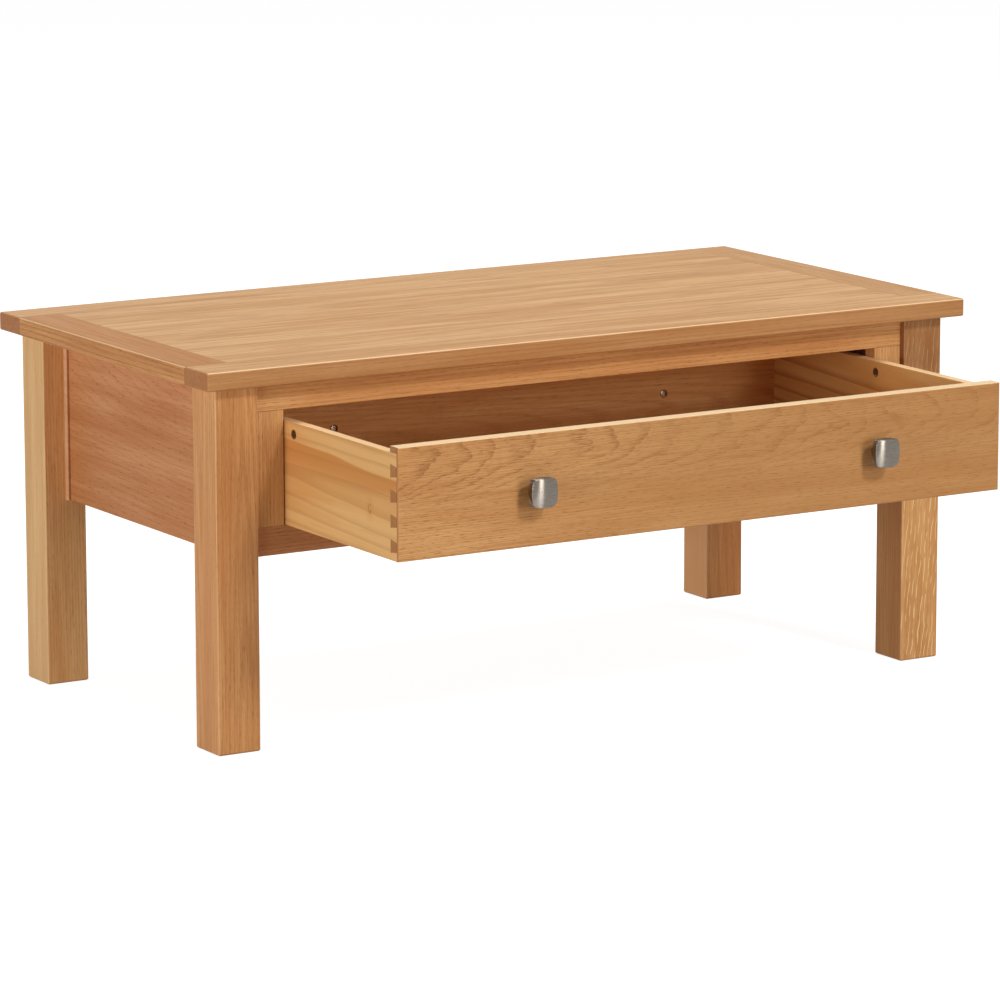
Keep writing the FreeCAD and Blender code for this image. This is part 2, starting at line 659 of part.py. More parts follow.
def make_bolts():
    """Bolts from inside the drawer, sunk into the front and through it into the knobs."""
    x = "(-knob_spacing / 2)"
    wood = "(drawer_front_thickness - bolt_sink_depth)"
    body = piece("PartDesign::Body", "knob_bolt_front_left")
    place(body, x, f"{drawer_face_y} + {wood}", knob_z)
    shank = sketch_on(body, "XZ_Plane")
    circle(shank, ("0", "0"), "bolt_diameter")
    pad(body, shank, f"{wood} + bolt_bite")
    head = sketch_on(body, "XZ_Plane")
    circle(head, ("0", "0"), "bolt_head_diameter")
    cap = pad(body, head, "bolt_head_height", backwards=True)
    doc.recompute()
    rim = max(range(len(cap.Shape.Edges)), key=lambda number: cap.Shape.Edges[number].BoundBox.YMin)
    soften(body, cap, "bolt_head_height / 2", [f"Edge{rim + 1}"])
    names = ("knob_bolt_front_right", "knob_bolt_back_left", "knob_bolt_back_right")
    four_corners(body, names, "-drawer_open")


def check():
    """Stops if anything failed to build, or if a cut took nothing away."""
    for thing in doc.Objects:
        if "Invalid" in thing.State or "Error" in thing.State:
            raise RuntimeError(f"{thing.Label} failed: {thing.State}")
        if thing.TypeId == "PartDesign::Pocket":
            if thing.Shape.Volume > thing.BaseFeature.Shape.Volume - LEAST_CUT:
                raise RuntimeError(f"{thing.Label} cuts nothing")
    for node in nodes:
        if node.Shape.isNull() or not node.Shape.isValid() or not node.Shape.Solids:
            raise RuntimeError(f"{node.Label} has no valid solid")


make_legs()
make_end_panels()
make_rails()
make_stiles()
make_drawer_strips()
make_top()
make_drawer_fronts()
make_drawer_sides()
make_drawer_bottom()
make_knobs()
make_bolts()
doc.recompute()
check()
os.makedirs("parts", exist_ok=True)
for node in nodes:
    node.Shape.exportStep(f"parts/{node.Label}.step")
    print(node.Label, len(node.Shape.Solids), round(node.Shape.Volume))
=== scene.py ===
import math

import bpy
from mathutils import Matrix, Vector


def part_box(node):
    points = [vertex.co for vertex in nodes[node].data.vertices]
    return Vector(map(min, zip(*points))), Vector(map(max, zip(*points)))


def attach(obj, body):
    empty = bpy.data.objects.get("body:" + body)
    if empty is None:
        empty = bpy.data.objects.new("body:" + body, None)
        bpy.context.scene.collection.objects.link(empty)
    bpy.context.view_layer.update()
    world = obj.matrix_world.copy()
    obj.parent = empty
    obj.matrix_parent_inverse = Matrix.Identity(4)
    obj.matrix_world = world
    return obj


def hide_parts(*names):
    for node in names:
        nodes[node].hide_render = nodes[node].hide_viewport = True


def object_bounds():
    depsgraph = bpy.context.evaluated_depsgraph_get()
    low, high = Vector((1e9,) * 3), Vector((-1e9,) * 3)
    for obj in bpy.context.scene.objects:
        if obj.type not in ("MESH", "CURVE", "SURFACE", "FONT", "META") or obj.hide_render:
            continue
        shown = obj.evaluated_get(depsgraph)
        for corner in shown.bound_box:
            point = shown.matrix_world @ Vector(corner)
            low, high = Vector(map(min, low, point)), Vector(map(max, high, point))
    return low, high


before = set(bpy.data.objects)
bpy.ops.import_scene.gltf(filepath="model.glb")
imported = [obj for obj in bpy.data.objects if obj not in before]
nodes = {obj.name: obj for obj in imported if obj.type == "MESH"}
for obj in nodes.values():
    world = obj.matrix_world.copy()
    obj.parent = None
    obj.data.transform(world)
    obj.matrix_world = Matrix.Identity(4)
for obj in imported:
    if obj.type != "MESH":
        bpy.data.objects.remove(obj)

# Coffee table in lacquered oak, its wide drawer open.  Metres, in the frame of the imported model;
# sizes and places in the wood are in millimetres.

MM = 0.001
cad_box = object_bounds()

# Camera: a long lens at the photograph's viewing angle; metres, degrees, and millimetres for the lens
CAMERA_PLACE = (-3.3795, -5.6074, 1.4687)
CAMERA_YAW = 31.2322
CAMERA_PITCH = 10.8954
CAMERA_ROLL = -0.1058
CAMERA_LENS = 196.165
CAMERA_SENSOR = 36.0
CAMERA_REACH = 200.0

# Studio: a lamp's level is how bright a white card facing it would be
KEY_LEVEL = 0.34
LEFT_LEVEL = 0.45
TOP_LEVEL = 0.72
STRIP_LEVEL = 0.26
BACK_LEVEL = 0.22
SKY_LEVEL = 0.14
LAMP_AIM = (0, -0.1, 0.3)
WHITE = (1, 1, 1, 1)
FLOOR_GLOW = 0.91
FLOOR_SHOWN = 0.40
FLOOR_BOUNCE = 0.42
FLOOR_SIZE = 60.0
FLOOR_DROP = 0.5 * MM

# Tones of the oak boards: pale wood, warm wood, growth ring and open pore
HONEY = ("#dba66c", "#cb9158", "#b57a46", "#93592f")
RUSSET = ("#d8a066", "#c68a52", "#b07342", "#8c542c")
AMBER = ("#d09262", "#be7c4c", "#ac6a3e", "#8a4e2a")
STRAW = ("#e4b278", "#d4985c", "#c08248", "#a06638")
CHESTNUT = ("#d69a60", "#c4864e", "#a86c3a", "#845028")
TOP = ("#cda06c", "#bd8c56", "#a97845", "#8c5c34")

# Single tones on the oak
PALE_RAY = "#f0cf96"
# Painted highlight on arrises and on the end panels' beads
PAINTED_ARRIS_HIGHLIGHT = "#f9deb4"
# Painted light from above on faces that look up
PAINTED_TOP_LIGHT = "#f6dcb0"
JOINT_LINE = "#7d4d28"
LAP_EDGE = "#dc9a66"
SAWN_END = "#a8663c"
# Painted light on single faces of legs and of the drawer back
PAINTED_FACE_LIGHT = "#ffbe84"
STAINED = "#97601a"
# Painted light on the back left leg's left face
PAINTED_PALE_LIGHT = "#f0cc94"
# Darker tone towards a leg's upper end
DARK_HEAD_TONE = "#7a4424"
WARM_END = "#ae7a48"

# Pine: spring wood in two tones, summer wood and its thin lines; then the painted shade inside its
# bores, and its knot's bark
PINE = ("#e3b274", "#d8a060", "#cb8a4b", "#b67840")
BORE_SHADE = "#6b3d1c"
KNOT_BARK = "#6e3f1c"

# Plywood in two tones and its fine lines, and the metals in two tones each
PLYWOOD = ("#d6a872", "#cb9a63", "#ab7846")
NICKEL = ("#7f786f", "#6f6860")
ZINC = ("#dcd6ca", "#b3aca0")

# Pores of the oak: width and length.  The top, seen at a flat angle, needs them larger to show
PORE = (1.2, 11)
TOP_PORE = (2.6, 32)
RING_SWIRL = 55
FLECK_SPACING = 6.5
FLECK_LEAN = -6
ARRIS_CORE = 0.3 * MM
ARRIS_REACH = 1.8 * MM

# Tints: the depth of one that covers a single face, the reach of those that fade along a piece, and
# where along X the drawer front's wood is warmest
FACE_SKIN = 1.5
FOOT_FADE = 500
HEAD_FADE = 120
WARM_FADE = 950
WARM_PLACE = 430

# Joints of the top, drawn wider than they are so that they show: along its length, and across it on the
# boards and on the end borders
LONG_JOINT = 2.0
CROSS_JOINT = 0.8
END_JOINT = 0.9

# Boards of the top: their number, how far in and how high the first one's heart lies, and how much
# further in and lower each next one does
TOP_BOARDS = 4
HEART_IN = 52
HEART_HEIGHT = 350
HEART_STEP = 14

# Drawer front: the thickness that laps over the sides' tails
LAP = 4

# Drawer sides: the bores below their upper edge, and the left one's knot from its front and lower edges
BORE_RADIUS = 5.5
BORE_DROP = 14
KNOT_ALONG = 60
KNOT_UP = 51

# Broad summer band on the left drawer side: how far below the upper edge it starts and ends, where it
# leaves the case and at the drawer's front, the length between these two, and how far it wavers
BAND_START = (16, 26)
BAND_END = (60, 46)
BAND_LENGTH = 254
BAND_WAVER = 9

# Knob bolts: cross recess in a domed head
BOLT_DOME = 1.2 * MM
CROSS_LENGTH = 4.6 * MM
CROSS_WIDTH = 1.3 * MM
CROSS_DEPTH = 1.5 * MM
BOLT_SHANK = 4 * MM
BOLT_HEAD = 2.5 * MM
BOLT_SMOOTH = 35
CORNERS = ("front_left", "front_right", "back_left", "back_right")

# Which two axes lie across the grain, and which along it
ACROSS = {"X": ("Y", "Z", "X"), "Y": ("X", "Z", "Y"), "Z": ("X", "Y", "Z")}
AXIS = {"X": (1.0, 0.0, 0.0), "Y": (0.0, 1.0, 0.0), "Z": (0.0, 0.0, 1.0)}

# One turn of the ring pattern is this long at scale 1
RING_TURN = 2 * math.pi / 20

# Setting of a number that changes smoothly while another goes from one value to the next
SMOOTH = {"interpolation_type": "SMOOTHSTEP"}


def colour(text):
    """A colour written as sRGB hex, as the linear value that a shader takes."""
    parts = [int(text[start:start + 2], 16) / 255 for start in (1, 3, 5)]
    linear = [part / 12.92 if part <= 0.04045 else ((part + 0.055) / 1.055) ** 2.4 for part in parts]
    return (*linear, 1.0)


def add(tree, kind, inputs=None, **settings):
    """A node with its settings; an input gets a link where it is given a node or socket, else a value."""
    node = tree.nodes.new("ShaderNode" + kind)
    for key, value in settings.items():
        setattr(node, key, value)
    for socket, value in (inputs or {}).items():
        if isinstance(value, bpy.types.Node):
            value = value.outputs[0]
        if isinstance(value, bpy.types.NodeSocket):
            tree.links.new(value, node.inputs[socket])
        else:
            node.inputs[socket].default_value = value
    return node


def new_material(name):
    """An empty node material and its tree."""
    material = bpy.data.materials.new(name)
    material.use_nodes = True
    material.node_tree.nodes.clear()
    return material, material.node_tree


def surface(tree, **inputs):
    """Ends a material in one principled shader; names are its sockets with spaces as underscores."""
    sockets = {name.replace("_", " "): value for name, value in inputs.items()}
    shader = add(tree, "BsdfPrincipled", sockets)
    add(tree, "OutputMaterial", {"Surface": shader})


def dress(node, material):
    """Gives a CAD node its finish."""
    mesh = nodes[node].data
    mesh.materials.clear()
    mesh.materials.append(material)


def edge(node, axis, side):
    """Where a piece's box ends along an axis, in millimetres, on its low side (-1) or its high side (1)."""
    low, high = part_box(node)
    corner = low if side < 0 else high
    return corner["XYZ".index(axis)] / MM


def paint_face_light_or_shade(node, axis, side, strength, ink):
    """A ruled line only as deep as one face of a piece, which paints light or shade onto that face alone.
    """
    return (axis, edge(node, axis, side), FACE_SKIN, strength, ink)


def uneven_spots(tree, place, sizes, detail, distortion=0.0):
    """A pattern of spots with about these sizes in millimetres along the three axes of the place."""
    scaled = add(tree, "Mapping", {"Vector": place, "Scale": [1 / (size * MM) for size in sizes]})
    spots = add(tree, "TexNoise", {
        "Vector": scaled, "Scale": 1.0, "Detail": detail, "Roughness": 0.6, "Distortion": distortion,
    })
    return spots.outputs["Fac"]


def board_place(tree, grain, heart, lean, shift):
    """Coordinates of a board in its tree: the heart at zero, and the third axis along the trunk."""
    split = add(tree, "SeparateXYZ", {"Vector": add(tree, "TexCoord").outputs["Object"]})
    first, second, along = (split.outputs[axis] for axis in ACROSS[grain])
    turned = add(tree, "CombineXYZ", {"X": first, "Y": second, "Z": along})
    return add(tree, "Mapping", {
        "Vector": turned,
        "Location": (-heart[0] * MM, -heart[1] * MM, shift),
        "Rotation": (math.radians(lean[0]), math.radians(lean[1]), 0),
    })


def ring_pattern(tree, place, ring, wander, stretch, wobble, profile):
    """Growth rings round the heart, that wander by some millimetres along the trunk."""
    drawn_out = add(tree, "Mapping", {"Vector": place, "Scale": (1.0, 1.0, stretch)})
    swirl = add(tree, "TexNoise", {"Vector": drawn_out, "Scale": 1 / (RING_SWIRL * MM), "Detail": 2.0})
    offset = add(tree, "VectorMath", {0: swirl.outputs["Color"], 1: (0.5, 0.5, 0.5)}, operation="SUBTRACT")
    drift = add(tree, "VectorMath", {0: offset, "Scale": wander * MM}, operation="SCALE")
    wandered = add(tree, "VectorMath", {0: drawn_out, 1: drift}, operation="ADD")
    rings = add(tree, "TexWave", {
        "Vector": wandered, "Scale": RING_TURN / (ring * MM), "Distortion": wobble,
        "Detail": 2.0, "Detail Scale": 0.9, "Detail Roughness": 0.6,
    }, wave_type="RINGS", rings_direction="Z", wave_profile=profile)
    return rings.outputs["Fac"]


def facing(tree, axis):
    """How far the surface is turned towards an axis."""
    normal = add(tree, "NewGeometry").outputs["Normal"]
    return add(tree, "VectorMath", {0: normal, 1: axis}, operation="DOT_PRODUCT").outputs["Value"]


def facing_either_way(tree, axis):
    """How far the surface is turned along an axis, either way."""
    return add(tree, "Math", {0: facing(tree, axis)}, operation="ABSOLUTE")


def near_arris(tree, box, axes):
    """1 on a box's edges where its faces across two axes meet, fading to 0 a little way in."""
    low, high = box
    place = add(tree, "TexCoord").outputs["Object"]
    off = add(tree, "VectorMath", {0: place, 1: (low + high) / 2}, operation="SUBTRACT")
    away = add(tree, "VectorMath", {0: off}, operation="ABSOLUTE")
    depth = add(tree, "VectorMath", {0: (high - low) / 2, 1: away}, operation="SUBTRACT")
    split = add(tree, "SeparateXYZ", {"Vector": depth})
    first, second = (split.outputs[axis] for axis in axes)
    deeper = add(tree, "Math", {0: first, 1: second}, operation="MAXIMUM")
    return add(tree, "MapRange", {
        "Value": deeper, "From Min": ARRIS_CORE, "From Max": ARRIS_REACH, "To Min": 1.0, "To Max": 0.0,
    }, **SMOOTH)


def ruled_lines(tree, wood, lines):
    """Straight lines across a board, each given by its axis, place, width, strength and colour."""
    split = add(tree, "SeparateXYZ", {"Vector": add(tree, "TexCoord").outputs["Object"]})
    for axis, place, width, strength, ink in lines:
        off = add(tree, "Math", {0: split.outputs[axis], 1: place * MM}, operation="SUBTRACT")
        away = add(tree, "Math", {0: off}, operation="ABSOLUTE")
        line = add(tree, "MapRange", {
            "Value": away, "From Min": 0.4 * width * MM, "From Max": width * MM,
            "To Min": strength, "To Max": 0.0,
        }, **SMOOTH)
        wood = add(tree, "MixRGB", {"Fac": line, "Color1": wood, "Color2": colour(ink)})
    return wood


def upper_face(tree, wood, strength, ink):
    """Faces that look up in another tone: painted light from above, and a stain on the top's end borders.
    """
    level = add(tree, "MapRange", {
        "Value": facing(tree, AXIS["Z"]), "From Min": 0.5, "From Max": 0.9, "To Max": strength,
    }, **SMOOTH)
    return add(tree, "MixRGB", {"Fac": level, "Color1": wood, "Color2": colour(ink)})


def ray_flecks(tree, wood, fibre, strength):
    """Rays cut along their length: thin pale wavy lines on the front and back; flat-sawn sides with painted
    shade.
    """
    leaning = add(tree, "Mapping", {"Vector": fibre, "Rotation": (0, math.radians(FLECK_LEAN), 0)})
    flowing = add(tree, "Mapping", {"Vector": leaning, "Scale": (1.0, 1.0, 0.4)})
    waves = add(tree, "TexWave", {
        "Vector": flowing, "Scale": RING_TURN / (FLECK_SPACING * MM), "Distortion": 6.0, "Detail": 2.0,
    }, wave_type="BANDS", bands_direction="X")
    thin = add(tree, "MapRange", {"Value": waves.outputs["Fac"], "From Min": 0.86}, **SMOOTH)
    spots = uneven_spots(tree, leaning, (5, 5, 24), 1.0)
    patches = add(tree, "MapRange", {
        "Value": spots, "From Min": 0.42, "From Max": 0.54, "To Max": strength,
    }, **SMOOTH)
    broken = add(tree, "Math", {0: thin, 1: patches}, operation="MULTIPLY")
    shown = add(tree, "Math", {0: broken, 1: facing_either_way(tree, AXIS["Y"])}, operation="MULTIPLY")
    wood = add(tree, "MixRGB", {"Fac": shown, "Color1": wood, "Color2": colour(PALE_RAY)})
    # The sides a tone darker: flat-sawn wood, with painted shade on them
    flat_sawn_and_shade = add(tree, "MapRange", {
        "Value": facing_either_way(tree, AXIS["X"]), "From Min": 0.5, "From Max": 0.9, "To Max": 0.35,
    }, **SMOOTH)
    return add(tree, "MixRGB", {"Fac": flat_sawn_and_shade, "Color1": wood, "Color2": colour(AMBER[3])})


def crown_figure(tree, wood, ink, grain, heart, lean, ring, low, high):
    """Broad arches on a flat-sawn board, that fade out between a higher and a lower level."""
    place = board_place(tree, grain, heart, lean, 0.0)
    rings = ring_pattern(tree, place, ring, wander=15, stretch=0.4, wobble=2.5, profile="SAW")
    arches = add(tree, "MapRange", {"Value": rings, "From Min": 0.5}, **SMOOTH)
    split = add(tree, "SeparateXYZ", {"Vector": add(tree, "TexCoord").outputs["Object"]})
    shown = add(tree, "MapRange", {
        "Value": split.outputs["Z"], "From Min": low * MM, "From Max": high * MM, "To Max": 0.75,
    }, **SMOOTH)
    spots = uneven_spots(tree, place, (50, 50, 110), 1.0)
    patches = add(tree, "MapRange", {
        "Value": spots, "From Min": 0.36, "From Max": 0.6, "To Min": 0.45,
    }, **SMOOTH)
    # Their edges fray into short dashes along the grain
    fibre = board_place(tree, grain, heart, (0, 0), 0.0)
    dashes = add(tree, "MapRange", {
        "Value": uneven_spots(tree, fibre, (2.0, 2.0, 16), 2.0),
        "From Min": 0.38, "From Max": 0.60, "To Min": 0.15,
    }, **SMOOTH)
    amount = add(tree, "Math", {0: arches, 1: shown}, operation="MULTIPLY")
    for share in (patches, dashes):
        amount = add(tree, "Math", {0: amount, 1: share}, operation="MULTIPLY")
    return add(tree, "MixRGB", {"Fac": amount, "Color1": wood, "Color2": ink})


def oak(node, tone, grain, heart=(0, -70), lean=(0, 0), ring=4.0, shift=0.0, figure=0.4, dashes=0.5,
        streaky=0.55, line=1.9, pore_size=PORE, ends=0.3, flecks=0.0, arris_highlight=0.0, edges="XY", whole=None,
        crown=None, upper=None, lines=()):
    """Lacquered oak for one board.

    Growth rings cut by the board's faces give long lines, or arches where the trunk leans through the
    board.  Open pores give short dark dashes along the grain, crowded in the rings' early wood and drawn
    three or more times their real width so that they show.  Finer lines run between them.  Arrises get
    a painted pale highlight, and a satin lacquer lies over it all, a little rougher in the pores.
    """
    material, tree = new_material(node + "_oak")
    pale, warm, ringed, pore = (colour(text) for text in tone)
    place = board_place(tree, grain, heart, lean, shift)
    fibre = board_place(tree, grain, heart, (0, 0), shift)
    rings = ring_pattern(tree, place, ring, wander=14, stretch=0.08, wobble=1.4, profile="SIN")
    early = add(tree, "MapRange", {"Value": rings, "From Min": 0.62, "To Max": figure}, **SMOOTH)
    crowd = add(tree, "MapRange", {
        "Value": rings, "From Min": 0.4, "To Min": 0.45 * dashes, "To Max": dashes,
    }, **SMOOTH)
    across, along = pore_size
    spots = uneven_spots(tree, fibre, (across, across, along), 1.0)
    short = add(tree, "MapRange", {"Value": spots, "From Min": 0.53, "From Max": 0.70}, **SMOOTH)
    pores = add(tree, "Math", {0: short, 1: crowd}, operation="MULTIPLY")
    fine = uneven_spots(tree, fibre, (line, line, 50 * line), 3.0, 0.3)
    streaks = add(tree, "MapRange", {
        "Value": fine, "From Min": 0.42, "From Max": 0.66, "To Max": streaky,
    }, **SMOOTH)
    cloud = uneven_spots(tree, fibre, (34, 34, 380), 2.0)
    tint = add(tree, "MapRange", {"Value": cloud, "From Min": 0.34, "From Max": 0.66}, **SMOOTH)

    wood = add(tree, "MixRGB", {"Fac": tint, "Color1": pale, "Color2": warm})
    wood = add(tree, "MixRGB", {"Fac": early, "Color1": wood, "Color2": ringed})
    wood = add(tree, "MixRGB", {"Fac": streaks, "Color1": wood, "Color2": ringed})
    if crown:
        wood = crown_figure(tree, wood, pore, grain, **crown)
    wood = add(tree, "MixRGB", {"Fac": pores, "Color1": wood, "Color2": pore})
    if flecks:
        wood = ray_flecks(tree, wood, fibre, flecks)

    # End grain drinks more lacquer and looks darker
    end_grain = add(tree, "MapRange", {
        "Value": facing_either_way(tree, AXIS[grain]), "From Min": 0.7, "From Max": 0.95, "To Max": ends,
    }, **SMOOTH)
    wood = add(tree, "MixRGB", {"Fac": end_grain, "Color1": wood, "Color2": pore})
    if lines:
        wood = ruled_lines(tree, wood, lines)
    # Upward faces: painted light from above on the drawer, a darker stain on the top's end borders
    if upper:
        wood = upper_face(tree, wood, *upper)
    # Painted highlight along the arrises
    if arris_highlight:
        arris = near_arris(tree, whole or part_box(node), edges)
        painted_arris = add(tree, "Math", {0: arris, 1: arris_highlight}, operation="MULTIPLY")
        wood = add(tree, "MixRGB", {"Fac": painted_arris, "Color1": wood, "Color2": colour(PAINTED_ARRIS_HIGHLIGHT)})

    rough = add(tree, "MapRange", {
        "Value": fine, "From Min": 0.35, "From Max": 0.75, "To Min": 0.44, "To Max": 0.60,
    }, **SMOOTH)
    relief = add(tree, "Bump", {"Strength": 0.22, "Distance": 0.25 * MM, "Height": pores}, invert=True)
    surface(tree, Base_Color=wood, Roughness=rough, Normal=relief, Specular_IOR_Level=0.12)
    dress(node, material)


def broad_band(tree):
    """Where the left drawer side's one broad band of summer wood lies: crisp above and soft below."""
    low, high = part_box("drawer_side_left")
    place = add(tree, "TexCoord").outputs["Object"]
    split = add(tree, "SeparateXYZ", {"Vector": place})
    waver = uneven_spots(tree, place, (40, 150, 40), 1.0)
    lift = add(tree, "Math", {
        0: waver, 1: BAND_WAVER * MM, 2: split.outputs["Z"],
    }, operation="MULTIPLY_ADD")
    limits = []
    for at_case, at_front in (BAND_START, BAND_END):
        limit = add(tree, "MapRange", {
            "Value": split.outputs["Y"], "From Min": low.y + BAND_LENGTH * MM, "From Max": low.y,
            "To Min": high.z - at_case * MM, "To Max": high.z - at_front * MM,
        }, clamp=False)
        limits.append(add(tree, "Math", {0: lift, 1: limit}, operation="SUBTRACT"))
    above, below = limits
    crisp = add(tree, "MapRange", {"Value": above, "From Min": 1.5 * MM, "From Max": -1.5 * MM}, **SMOOTH)
    fading = add(tree, "MapRange", {
        "Value": above, "From Min": -8 * MM, "From Max": -40 * MM, "To Min": 1.0, "To Max": 0.55,
    }, **SMOOTH)
    soft = add(tree, "MapRange", {"Value": below, "From Min": -6 * MM, "From Max": 8 * MM}, **SMOOTH)
    upper = add(tree, "Math", {0: crisp, 1: fading}, operation="MULTIPLY")
    return add(tree, "Math", {0: upper, 1: soft}, operation="MULTIPLY")


def painted_bore_shade(tree, wood, centre):
    """Painted shade inside a hole that runs along X, and a faint dark ring round its mouth."""
    place = add(tree, "TexCoord").outputs["Object"]
    off = add(tree, "VectorMath", {0: place, 1: centre}, operation="SUBTRACT")
    flat = add(tree, "VectorMath", {0: off, 1: (0.0, 1.0, 1.0)}, operation="MULTIPLY")
    away = add(tree, "VectorMath", {0: flat}, operation="LENGTH").outputs["Value"]
    inside = add(tree, "MapRange", {
        "Value": away, "From Min": (BORE_RADIUS + 0.5) * MM, "From Max": (BORE_RADIUS + 0.05) * MM,
        "To Max": 0.75,
    }, **SMOOTH)
    return add(tree, "MixRGB", {"Fac": inside, "Color1": wood, "Color2": colour(BORE_SHADE)})


def dead_knot(tree, wood, centre):
    """A small dead knot: a thin broken dark rim round a tan core."""
    place = add(tree, "TexCoord").outputs["Object"]
    off = add(tree, "VectorMath", {0: place, 1: centre}, operation="SUBTRACT")
    squat = add(tree, "VectorMath", {0: off, 1: (1.0, 1.0, 0.6)}, operation="MULTIPLY")
    away = add(tree, "VectorMath", {0: squat}, operation="LENGTH").outputs["Value"]
    halo = add(tree, "MapRange", {
        "Value": away, "From Min": 3 * MM, "From Max": 12 * MM, "To Min": 0.35, "To Max": 0.0,
    }, **SMOOTH)
    rim = add(tree, "MapRange", {"Value": away, "From Min": 3.6 * MM, "From Max": 2.6 * MM}, **SMOOTH)
    hollow = add(tree, "MapRange", {"Value": away, "From Min": 1.2 * MM, "From Max": 2.4 * MM}, **SMOOTH)
    spots = uneven_spots(tree, place, (4, 4, 4), 1.0)
    broken = add(tree, "MapRange", {
        "Value": spots, "From Min": 0.38, "From Max": 0.5, "To Max": 0.8,
    }, **SMOOTH)
    bark = add(tree, "Math", {0: rim, 1: hollow}, operation="MULTIPLY")
    shown = add(tree, "Math", {0: bark, 1: broken}, operation="MULTIPLY")
    wood = add(tree, "MixRGB", {"Fac": halo, "Color1": wood, "Color2": colour(PINE[2])})
    return add(tree, "MixRGB", {"Fac": shown, "Color1": wood, "Color2": colour(KNOT_BARK)})


def pine(name, heart, lean, shift, ring=13.0, lines=0.5, banded=False, knot=None, bore=None,
         upper=None):
    """Clear-sealed pine: pale yellow spring wood, orange summer bands with thin lines, and small knots."""
    material, tree = new_material(name)
    place = board_place(tree, "Y", heart, lean, shift)
    rings = ring_pattern(tree, place, ring, wander=9, stretch=0.14, wobble=0.5, profile="SAW")
    spring, warm, summer, line = (colour(text) for text in PINE)
    cloud = uneven_spots(tree, place, (30, 30, 240), 1.0)
    fine = uneven_spots(tree, place, (1.8, 1.8, 70), 2.0)
    tint = add(tree, "MapRange", {"Value": cloud, "From Min": 0.36, "From Max": 0.64}, **SMOOTH)
    late = add(tree, "MapRange", {
        "Value": rings, "From Min": 0.55, "From Max": 0.98, "To Max": lines,
    }, **SMOOTH)
    streaks = add(tree, "MapRange", {
        "Value": fine, "From Min": 0.5, "From Max": 0.75, "To Max": 0.3,
    }, **SMOOTH)

    wood = add(tree, "MixRGB", {"Fac": tint, "Color1": spring, "Color2": warm})
    if banded:
        wood = add(tree, "MixRGB", {"Fac": broad_band(tree), "Color1": wood, "Color2": summer})
    wood = add(tree, "MixRGB", {"Fac": late, "Color1": wood, "Color2": line})
    wood = add(tree, "MixRGB", {"Fac": streaks, "Color1": wood, "Color2": summer})
    if knot:
        wood = dead_knot(tree, wood, knot)
    # Painted shade inside the bore
    if bore:
        wood = painted_bore_shade(tree, wood, bore)
    # Painted light from above on the upward faces
    if upper:
        wood = upper_face(tree, wood, *upper)
    relief = add(tree, "Bump", {"Strength": 0.12, "Distance": 0.2 * MM, "Height": rings})
    surface(tree, Base_Color=wood, Roughness=0.52, Normal=relief, Specular_IOR_Level=0.15)
    return material


def birch_plywood(name):
    """Sealed birch plywood: an even pale face with faint wide figure along the drawer."""
    material, tree = new_material(name)
    place = board_place(tree, "X", (0, 0), (0, 0), 0.0)
    pale, warm, line = (colour(text) for text in PLYWOOD)
    cloud = uneven_spots(tree, place, (24, 24, 180), 3.0)
    fine = uneven_spots(tree, place, (1.6, 1.6, 30), 2.0)
    tint = add(tree, "MapRange", {"Value": cloud, "From Min": 0.3, "From Max": 0.7}, **SMOOTH)
    streaks = add(tree, "MapRange", {
        "Value": fine, "From Min": 0.45, "From Max": 0.75, "To Max": 0.4,
    }, **SMOOTH)
    wood = add(tree, "MixRGB", {"Fac": tint, "Color1": pale, "Color2": warm})
    wood = add(tree, "MixRGB", {"Fac": streaks, "Color1": wood, "Color2": line})
    surface(tree, Base_Color=wood, Roughness=0.55, Specular_IOR_Level=0.2)
    return material


def satin_nickel(name):
    """Satin nickel plate: a warm grey metal whose fine level brushing draws the highlight out upright."""
    material, tree = new_material(name)
    bright, dark = (colour(text) for text in NICKEL)
    brushing = uneven_spots(tree, add(tree, "TexCoord").outputs["Object"], (9, 9, 0.6), 2.0)
    tint = add(tree, "MapRange", {"Value": brushing, "From Min": 0.3, "From Max": 0.7}, **SMOOTH)
    metal = add(tree, "MixRGB", {"Fac": tint, "Color1": bright, "Color2": dark})
    rough = add(tree, "MapRange", {
        "Value": brushing, "From Min": 0.3, "From Max": 0.7, "To Min": 0.28, "To Max": 0.33,
    }, **SMOOTH)
    upright = add(tree, "Tangent", direction_type="RADIAL", axis="X")
    surface(tree, Base_Color=metal, Metallic=1.0, Roughness=rough, Anisotropic=1.0, Tangent=upright)
    return material


def zinc_steel(name):
    """Bright zinc plate on steel, dulled a little unevenly."""
    material, tree = new_material(name)
    bright, dull = (colour(text) for text in ZINC)
    blotches = uneven_spots(tree, add(tree, "TexCoord").outputs["Object"], (1.5, 1.5, 1.5), 3.0)
    tint = add(tree, "MapRange", {"Value": blotches, "From Min": 0.3, "From Max": 0.7}, **SMOOTH)
    metal = add(tree, "MixRGB", {"Fac": tint, "Color1": bright, "Color2": dull})
    rough = add(tree, "MapRange", {
        "Value": blotches, "From Min": 0.3, "From Max": 0.7, "To Min": 0.28, "To Max": 0.5,
    }, **SMOOTH)
    surface(tree, Base_Color=metal, Metallic=1.0, Roughness=rough)
    return material


